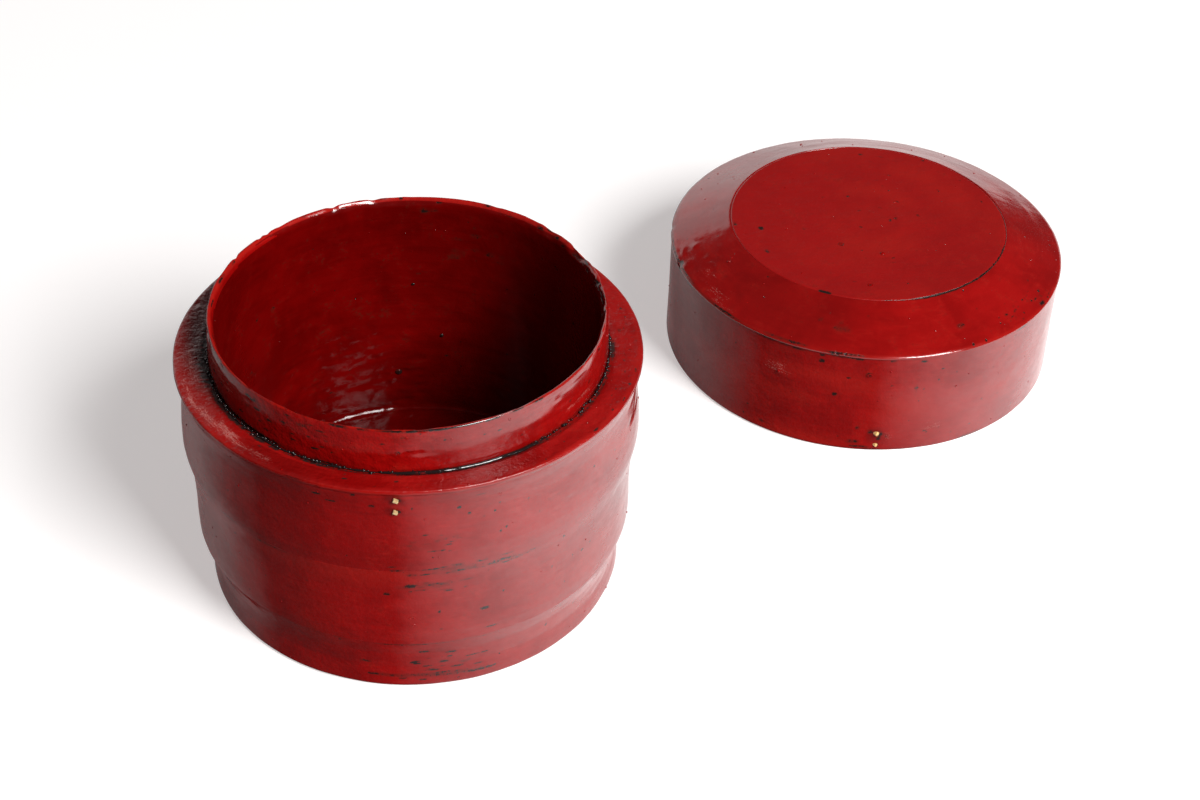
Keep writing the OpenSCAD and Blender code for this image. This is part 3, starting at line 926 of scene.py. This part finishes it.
rimWorn = scatter((26, (-75, 80), (80.1, 80.7), (1.5, 5.0), (0.25, 0.4), (0.62, 0.85)))
rimWorn += scatter(
    (30, (86, 135), (79.2, 80.9), (0.5, 2.0), (0.3, 0.6), (0.6, 0.95)),
    (14, (135, 290), (79.5, 80.9), (0.6, 2.5), (0.25, 0.5), (0.5, 0.9)))
paint(sleeve, "worn", collarWorn, **collar)
paint(sleeve, "worn", rimWorn, **rimInside)
rimLine = [(angle, 50.12, length, 0.22, 0.85) for angle, length in (
    (-16, 3), (-9, 2.4), (-2, 4), (5, 3), (11, 4.5), (19, 5), (27, 3.5), (34, 2.5), (41, 2))]
paint(sleeve, "worn", rimLine, **rimEdge)
# darker red on the collar's front left, away from the softbox: painted shade
paint(sleeve, "deep_tone_and_shade", [(-45, 75, 24, 9, 0.45), (-20, 75, 8, 9, 0.3)], **collar)
paint(sleeve, "thin", [(0, 80.7, 400, 0.75, 0.9)], **rimTop)
paint(sleeve, "scuffs_and_glints", [(-70, 77.5, 14, 1.6, 0.62), (-58, 75.5, 8, 1.5, 0.5), (60, 72.5, 8, 1.0, 0.5),
                          (102, 79.8, 10, 0.7, 0.7), (84, 80.2, 6, 0.4, 0.6)], **collar)
collarHeaps = [(0.3, 74.6, 1.4, 1.0, 0.25), (3.6, 75.4, 1.6, 0.6, 0.22), (6.0, 74.2, 1.2, 0.6, -0.2)]
collarHeaps += scatter(
    (60, allRound, (70.5, 79.5), (1.2, 4.0), (0.6, 1.4), (-0.13, 0.10)),
    (150, allRound, (70, 80), (0.6, 2.0), (0.4, 0.8), (-0.07, 0.06)))
press(sleeve, collarHeaps, **collar)
rimHeaps = [
    (-153, 80.9, 1.2, 1.2, -0.45), (-129, 80.9, 1.0, 1.0, -0.45), (-126, 80.9, 0.9, 1.0, -0.40),
    (-114, 80.9, 0.9, 0.9, -0.45), (-166, 80.9, 1.4, 1.0, -0.30)]
rimHeaps += scatter(
    (40, (88, 140), (79.6, 81), (0.8, 2.4), (0.6, 1.3), (-0.28, 0.14)),
    (50, allRound, (79.6, 81), (3.5, 9), (0.9, 1.6), (-0.17, 0.09)),
    (110, allRound, (79.8, 81), (0.9, 2.6), (0.6, 1.1), (-0.15, 0.09)))
press(sleeve, rimHeaps, **rim)

# Inside: waves in the thick lacquer, strongest low on the back wall, and dark specks.
waves = scatter((260, (-180, -130), (9.5, 38), (0.9, 2.2), (0.6, 1.2), (-0.20, 0.20)))
waves += scatter((150, allRound, (10, 78), (1.5, 5.0), (1.2, 3.0), (-0.12, 0.12)))
press(sleeve, waves, **inside)
insideWorn = scatter((60, allRound, (12, 77), (0.4, 1.2), (0.3, 0.7), (0.45, 0.85)))
insideWorn += scatter((22, (100, 180), (62, 78), (0.6, 2.0), (0.5, 1.2), (0.45, 0.75)))
paint(sleeve, "worn", insideWorn, **inside)
floorHeaps = [(-174, 46.0, 2.0, 1.4, 0.30), (-176, 44.5, 1.4, 1.0, -0.25), (172, 45, 2.2, 1.2, 0.25)]
floorHeaps += scatter((50, allRound, (8, 47), (1.5, 4), (1, 3), (-0.12, 0.12)))
press(baseBoard, floorHeaps, **cavityFloor)

# Lid.
skirtWorn = [
    (-35, 33.1, 3.5, 0.45, 0.85), (-29, 33.0, 2.0, 0.4, 0.8), (-25, 32.8, 2.2, 0.5, 0.85),
    (-18, 32.6, 1.2, 0.6, 0.85), (-12, 33.1, 4.5, 0.35, 0.8), (-7.5, 32.9, 1.4, 0.5, 0.9),
    (-1, 33.1, 2.0, 0.3, 0.75), (-13.5, 19.5, 0.9, 0.8, 0.98), (-18, 30.7, 0.9, 0.7, 0.95),
    (-4.5, 27.6, 1.0, 0.8, 0.98), (63, 23.8, 0.8, 0.8, 0.95), (1.8, 32.8, 1.0, 0.5, 0.9),
    (10.7, 32.2, 1.2, 0.5, 0.8), (9.5, 22.3, 0.6, 1.8, 0.55), (-10, 26, 0.8, 0.5, 0.8),
    (0.2, 6.5, 1.5, 1.3, 0.86), (0.4, 4.9, 0.8, 1.2, 0.80), (-1.9, 6.9, 1.3, 1.0, 0.74),
    (2.6, 5.8, 1.0, 1.8, 0.40), (-0.2, 2.4, 1.0, 0.9, 0.8), (-7, 3.2, 2.2, 0.8, 0.7),
    (-5, 1.6, 3.5, 0.5, 0.8), (-6, 8.5, 0.8, 0.9, 0.75), (-34, 3.0, 1.2, 0.6, 0.8)]
skirtWorn += spots(np.column_stack((random.uniform(-180, 180, 70), random.uniform(1, 32, 70))), 0.34, 0.85)
skirtWorn += scatter(
    (24, allRound, (0.3, 1.2), (1.5, 6), (0.4, 0.8), (0.5, 0.8)),
    (16, (40, 300), (32.4, 33.3), (1.5, 5), (0.35, 0.6), (0.6, 0.85)))
paint(lidSkirt, "worn", skirtWorn, **skirt)
paint(lidSkirt, "scuffs_and_glints", [(-31, 24.5, 4.0, 2.6, 0.52), (16, 8, 3.2, 2.2, 0.45),
                            (3.0, 5.6, 1.2, 1.8, 0.5)], **skirt)
# darker red just left of the pegs: painted peg shadow
paint(lidSkirt, "deep_tone_and_shade", [(-1.4, 5.6, 2.0, 2.4, 0.9)], **skirt)
paint(lidSkirt, "thin", scatter((12, allRound, (0, 33), (8, 24), (2, 6), (0.3, 0.8))), **skirt)
press(lidSkirt, [(-1.2, 6.4, 2.0, 1.6, -0.26), (-0.6, 2.6, 1.5, 1.2, -0.16), (3.0, 5.4, 1.2, 2.2, 0.24),
                 (-4.5, 27.8, 1.0, 0.9, 0.25), (-30, 22.8, 0.8, 1.0, 0.22)], **skirt)
press(lidSkirt, scatter((60, allRound, (1.5, 32), (1.5, 6), (1, 2.6), (-0.10, 0.10))), **skirt)
press(lidSkirt, scatter((110, allRound, (1.5, 32), (0.8, 2.6), (0.6, 1.3), (-0.06, 0.06))), **skirt)
shoulderWorn = spots([(-65.5, 46.8), (60, 55), (25.6, 58), (30, 58)], 0.5)
shoulderWorn += spots([(-21.6, 49.6), (-14.5, 49.5)], 0.9, 0.5)
shoulderWorn += [
    (-76.5, 57.8, 1.2, 0.8, 0.9), (56.5, 57.8, 1.6, 0.7, 0.9), (25, 51.7, 1.6, 1.0, 0.55),
    (-14, 50.5, 3, 1.6, 0.42), (-30, 58.2, 8, 0.5, 0.7), (-12, 58.4, 8, 0.4, 0.7),
    (-50, 58.4, 12, 0.4, 0.66), (-80, 58.3, 16, 0.5, 0.7), (24, 41.35, 11, 0.35, 0.90),
    (44, 41.3, 12, 0.3, 0.85), (63, 41.3, 8, 0.25, 0.66), (6, 41.3, 5, 0.25, 0.62)]
shoulderWorn += scatter(
    (40, (36, 64), (52, 58.3), (0.3, 0.9), (0.2, 0.5), (0.34, 0.70)),
    (44, allRound, (43, 58), (0.3, 0.8), (0.2, 0.45), (0.3, 0.75)))
paint(lidShoulder, "worn", shoulderWorn, **shoulder)
paint(lidShoulder, "scuffs_and_glints", [(-57, 55.5, 5, 2.2, 0.44), (-52, 57.4, 5, 1.0, 0.46),
                               (-66, 53.0, 4, 2.4, 0.34)], **shoulder)
# darker red on the shoulder's front left, away from the softbox: painted shade
paint(lidShoulder, "deep_tone_and_shade", [(-36, 50, 20, 12, 0.55)], **shoulder)
# a lighter line all round the shoulder's outer edge: thinner lacquer on the edge, and a painted edge
# highlight
paint(lidShoulder, "thin", [(0, 58.6, 400, 0.5, 0.5)], **shoulder)
press(lidShoulder, [(-76.5, 58.6, 1.6, 1.0, -0.45), (-96, 58.6, 1.4, 0.9, -0.25)], **shoulder)
press(lidShoulder, scatter((60, (-82, -46), (50, 58), (0.8, 2.4), (0.5, 1.2), (-0.12, 0.12))), **shoulder)
press(lidShoulder, scatter((70, allRound, (42, 58), (1.5, 6), (0.8, 2.2), (-0.07, 0.07))), **shoulder)
discWorn = [
    (-81, 32.9, 1.0, 0.8, 0.95), (-85.5, 40.2, 0.9, 0.6, 0.85), (-36, 16, 0.9, 0.8, 0.9),
    (-61, 36, 1.4, 0.9, 0.6), (-24, 40.9, 2.0, 0.5, 0.98), (7.6, 18.6, 1.0, 0.8, 0.6),
    (-5, 33.9, 0.8, 0.7, 0.8), (168, 36.4, 1.8, 0.5, 0.5), (24, 41.1, 11, 0.40, 0.92),
    (44, 41.1, 12, 0.35, 0.88), (63, 41.1, 8, 0.3, 0.68), (6, 41.1, 5, 0.3, 0.66)]
discWorn += scatter((26, allRound, (4, 40), (0.4, 1.0), (0.3, 0.6), (0.4, 0.8)))
paint(lidDisc, "worn", discWorn, **lidTop)
paint(lidDisc, "thin", scatter((14, allRound, (0, 41), (6, 16), (3, 8), (0.2, 0.6))), **lidTop)
press(lidDisc, [(30, 41.1, 22, 0.5, -0.14), (8, 18.4, 2.6, 1.6, 0.16), (7, 19.6, 1.4, 0.8, -0.16),
                (-61, 36.5, 1.6, 1.2, 0.14)], **lidTop)
press(lidDisc, scatter((60, allRound, (3, 40), (1.5, 6), (1.5, 5), (-0.10, 0.10))), **lidTop)
press(lidDisc, scatter((70, allRound, (3, 40), (0.8, 2.0), (0.7, 1.6), (-0.06, 0.06))), **lidTop)
print("wear painted and pressed")


# Nibs of dust under the lacquer and small rings where bubbles burst: one mesh on each body.
def nibTree():
    net, given = openTree("dustNibs", {"Geometry": ["Spots"], "Float": ["Ring Width"],
                                       "Material": ["Material"]})
    facing, stretch = (net.make("InputNamedAttribute", {"Name": name}, {"data_type": "FLOAT_VECTOR"})
                       for name in ("facing", "stretch"))
    ringed = net.make("InputNamedAttribute", {"Name": "ringed"}, {"data_type": "FLOAT"})
    upright = net.add("FunctionNodeAlignRotationToVector", {"axis": "Z"}, {"Vector": facing})["Rotation"]
    drop = net.make("MeshIcoSphere", {"Radius": 1.0, "Subdivisions": 3})
    circle = net.make("CurvePrimitiveCircle", {"Resolution": 24, "Radius": 0.8})
    thread = net.make("CurvePrimitiveCircle", {"Resolution": 8, "Radius": given["Ring Width"]})
    ring = net.make("CurveToMesh", {"Curve": circle, "Profile Curve": thread})
    nibs, rings = (net.make("InstanceOnPoints", {"Points": given["Spots"], "Selection": picked,
                                                 "Instance": form, "Rotation": upright, "Scale": stretch})
                   for picked, form in ((ringed < 0.5, drop), (ringed > 0.5, ring)))
    return closeTree(net, net.joined(nibs, rings), given["Material"])


dustNibs = nibTree()


# The vertex nearest to an angle and a level, with its normal.
def spotOn(piece, region, angle, level):
    place, radius, angles, across, chosen = roundAxis(piece, **region)
    far = runFrom(angles, radius, angle) ** 2 + (across - level) ** 2 + np.where(chosen, 0, 1e6)
    best = int(np.argmin(far))
    return Vector(place[best]) * mm, piece.data.vertices[best].normal.copy()


nibShape = ((0.8, 1.3), (0.7, 1.1), (0.45, 0.8))


# Each nib is (piece, region, angle, level, size), and 1 at its end makes it a ring.
def sowNibs(name, sown, material, ringWidth=0.28):
    start = bpy.data.meshes.new(name + ".spots")
    found = [spotOn(*spot[:4]) for spot in sown]
    start.from_pydata([tuple(place) for place, _ in found], [], [])
    layers = ("facing", "stretch", "ringed")
    for layer in layers:
        start.attributes.new(layer, "FLOAT" if layer == "ringed" else "FLOAT_VECTOR", "POINT")
    facing, stretch, ringed = (start.attributes[layer] for layer in layers)
    for i, (spot, (_, normal)) in enumerate(zip(sown, found)):
        size = spot[4] * mm
        facing.data[i].vector = normal
        stretch.data[i].vector = [size * random.uniform(*span) for span in nibShape]
        ringed.data[i].value = float(len(spot) > 5)
    made = grown(name, dustNibs, start, {"Ring Width": ringWidth, "Material": material})
    for layer in layers:
        if layer in made.data.attributes:
            made.data.attributes.remove(made.data.attributes[layer])
    return made


def strewn(count, piece, region, levels, sizes):
    spans = (allRound, levels, sizes)
    return [(piece, region, *(random.uniform(*span) for span in spans)) for _ in range(count)]


boxNibs = [
    (sleeve, inside, -171.8, 22.4, 0.95), (sleeve, inside, -177.7, 53.2, 0.6),
    (sleeve, inside, 173.3, 35.3, 0.6), (sleeve, collar, 0.3, 74.6, 0.5, 1),
    (middleHoop, wall, 2.4, 26.4, 0.62, 1), (middleHoop, wall, 3.0, 24.0, 0.5, 1),
    (upperHoop, wall, 25.0, 63.4, 0.5, 1)]
boxNibs += strewn(36, sleeve, inside, (12, 77), (0.14, 0.30))
boxNibs += strewn(26, sleeve, collar, (71, 79.5), (0.15, 0.35))
for hoop, levels in ((lowerHoop, (1, 16)), (middleHoop, (18, 41)), (upperHoop, (43, 67))):
    boxNibs += strewn(26, hoop, wall, levels, (0.14, 0.32))
boxNibs += strewn(26, upperHoop, ledgeTop, (53, 58), (0.15, 0.35))
lidNibs = [
    (lidShoulder, topSide, -65.5, 46.8, 0.5), (lidDisc, topSide, -36, 16, 0.6, 1),
    (lidDisc, topSide, -5, 33.9, 0.7, 1), (lidDisc, topSide, 8, 18.2, 0.7),
    (lidSkirt, skirtSide, -30, 22.8, 0.45), (lidSkirt, skirtSide, -4.5, 27.6, 0.7, 1)]
lidNibs += strewn(40, lidSkirt, skirtSide, (1.5, 32), (0.14, 0.34))
lidNibs += strewn(40, lidShoulder, topSide, (43, 57.5), (0.14, 0.34))
lidNibs += strewn(22, lidDisc, topSide, (4, 40), (0.14, 0.3))
boxDust = sowNibs("dust_nibs_box", boxNibs, boxRed)
recoat(boxDust, insideRed, lambda radius, height, normal: radius < 49.6)
paint(boxDust, "worn", spots([(-171.8, 22.4), (-177.7, 53.2), (173.3, 35.3)], 2.5), centre=boxAxis)
lidDust = sowNibs("dust_nibs_lid", lidNibs, lidRed)
print("nibs sown:", len(boxNibs), "and", len(lidNibs))

for piece, nodes in ((lowerHoop, "lower_hoop"), (middleHoop, "middle_hoop"), (upperHoop, "upper_hoop"),
                     (baseBoard, "base_board"), (sleeve, "sleeve")):
    finish(piece, "box", "red_lacquer", nodes)
finish(seamBead, "box", "black_lacquer", "seam_bead")
finish(boxPegUpper, "box", "peg", "box_peg_upper")
finish(boxPegLower, "box", "peg", "box_peg_lower")
finish(lidSkirt, "lid", "red_lacquer", "lid_skirt")
finish(lidShoulder, "lid", "red_lacquer", "lid_shoulder")
finish(lidDisc, "lid", "red_lacquer", "lid_disc")
finish(lidPegUpper, "carrier", "peg", "lid_peg_upper")
finish(lidPegLower, "lid", "peg", "lid_peg_lower")
finish(boxDust, "box", "red_lacquer")
finish(lidDust, "lid", "red_lacquer")


# Studio: a pale sweep, one softbox at the front right, dim room light. The sweep glows for camera and
# glossy rays, its glow painted brighter on the softbox's side, further out and up the sweep: painted light.
studio = dict(flat=1.72, edge=1.8, around=96, card=0.98, cardAngle=-30.0, cardWidth=30, pale=0.62,
              bounce=0.38, glowLow=0.48, glowHigh=1.0, glowFrom=0.03, glowTo=0.10, farGlow=0.3,
              farFrom=0.5, farTo=1.2, keyAway=2.8, keyWidth=1.05, keyPower=125.0, keyAngle=41.0,
              keyHeight=41.0, target=(0.06, 0.04, 0.03), room=0.07)


def sweepMaterial():
    made, net, place = openMaterial("paleSweep")
    rays = net.add("ShaderNodeLightPath")
    seen = rays["Is Camera Ray"].atLeast(rays["Is Glossy Ray"]).atLeast(rays["Is Transmission Ray"])
    x, y, z = net.split(place)
    # painted light: the sweep's glow rises towards the softbox's side, and the lacquer shows it as painted
    # reflections
    side = ((x - y) * 0.7071).step(studio["glowFrom"], studio["glowTo"])
    glow = studio["glowLow"] + side * (studio["glowHigh"] - studio["glowLow"])
    far = net.function("SQRT", x * x + y * y).step(studio["farFrom"], studio["farTo"])
    glow = glow + (far + z.step(0.0, 0.2)) * studio["farGlow"]
    shade = studio["bounce"] + seen * (studio["pale"] - studio["bounce"])
    shade = net.join(shade, shade * 0.985, shade * 0.975)
    matt = net.add("ShaderNodeBsdfDiffuse", {}, {"Color": shade})["BSDF"]
    # glossy rays see the dim side's glow tinted pink: a painted reflection colour
    warm = net.colour(rays["Is Camera Ray"], (1.0, 0.83, 0.825), (1.0, 0.95, 0.945))
    sweepGlow = net.add("ShaderNodeEmission", {}, {"Color": net.colour(side, warm, (1.0, 0.99, 0.985)),
                                               "Strength": seen * glow.atMost(1.0)})
    both = net.add("ShaderNodeAddShader", {}, {0: matt, 1: sweepGlow["Emission"]})["Shader"]
    net.add("ShaderNodeOutputMaterial", {}, {"Surface": both})
    return made


def makeStudio():
    curve = studio["edge"] - studio["flat"]
    outline = [(studio["flat"], 0.0)]
    outline += [(studio["flat"] + curve * math.sin(a), curve * (1 - math.cos(a)))
                for a in np.linspace(0.1, math.pi / 2, 14)]
    around = studio["around"]
    points = [(0, 0, 0)]
    faces = []
    for radius, height in outline:
        for k in range(around):
            angle = 2 * math.pi * k / around
            # the sweep stands higher at the back left
            off = (math.degrees(angle) - studio["cardAngle"] + 180) % 360 - 180
            taller = studio["card"] * math.exp(-(off / studio["cardWidth"]) ** 4) if height > 0.05 else 0
            points.append((radius * math.sin(angle), radius * math.cos(angle), height + taller))
    for k in range(around):
        after = (k + 1) % around
        faces.append((0, 1 + after, 1 + k))
        for low in range(1, 1 + around * (len(outline) - 1), around):
            faces.append((low + k, low + after, low + around + after, low + around + k))
    mesh = bpy.data.meshes.new("studio_sweep")
    mesh.from_pydata(points, [], faces)
    for face in mesh.polygons:
        face.use_smooth = True
    sweep = bpy.data.objects.new("studio_sweep", mesh)
    bpy.context.scene.collection.objects.link(sweep)
    mesh.materials.append(sweepMaterial())

    lamp = bpy.data.lights.new("softbox", "AREA")
    lamp.shape = "SQUARE"
    lamp.size = studio["keyWidth"]
    lamp.energy = studio["keyPower"]
    key = bpy.data.objects.new("softbox", lamp)
    bpy.context.scene.collection.objects.link(key)
    angle = math.radians(studio["keyAngle"])
    height = math.radians(studio["keyHeight"])
    level = math.cos(height)
    way = Vector((math.sin(angle) * level, -math.cos(angle) * level, math.sin(height)))
    key.location = Vector(studio["target"]) + way * studio["keyAway"]
    key.rotation_euler = way.to_track_quat("Z", "Y").to_euler()

    world = bpy.data.worlds.new("room")
    bpy.context.scene.world = world
    world.use_nodes = True
    net = Net(world.node_tree)
    back = net.add("ShaderNodeBackground", {}, {"Color": (1.0, 0.99, 0.98), "Strength": studio["room"]})
    net.add("ShaderNodeOutputWorld", {}, {"Surface": back["Background"]})


makeStudio()
print("studio lit")
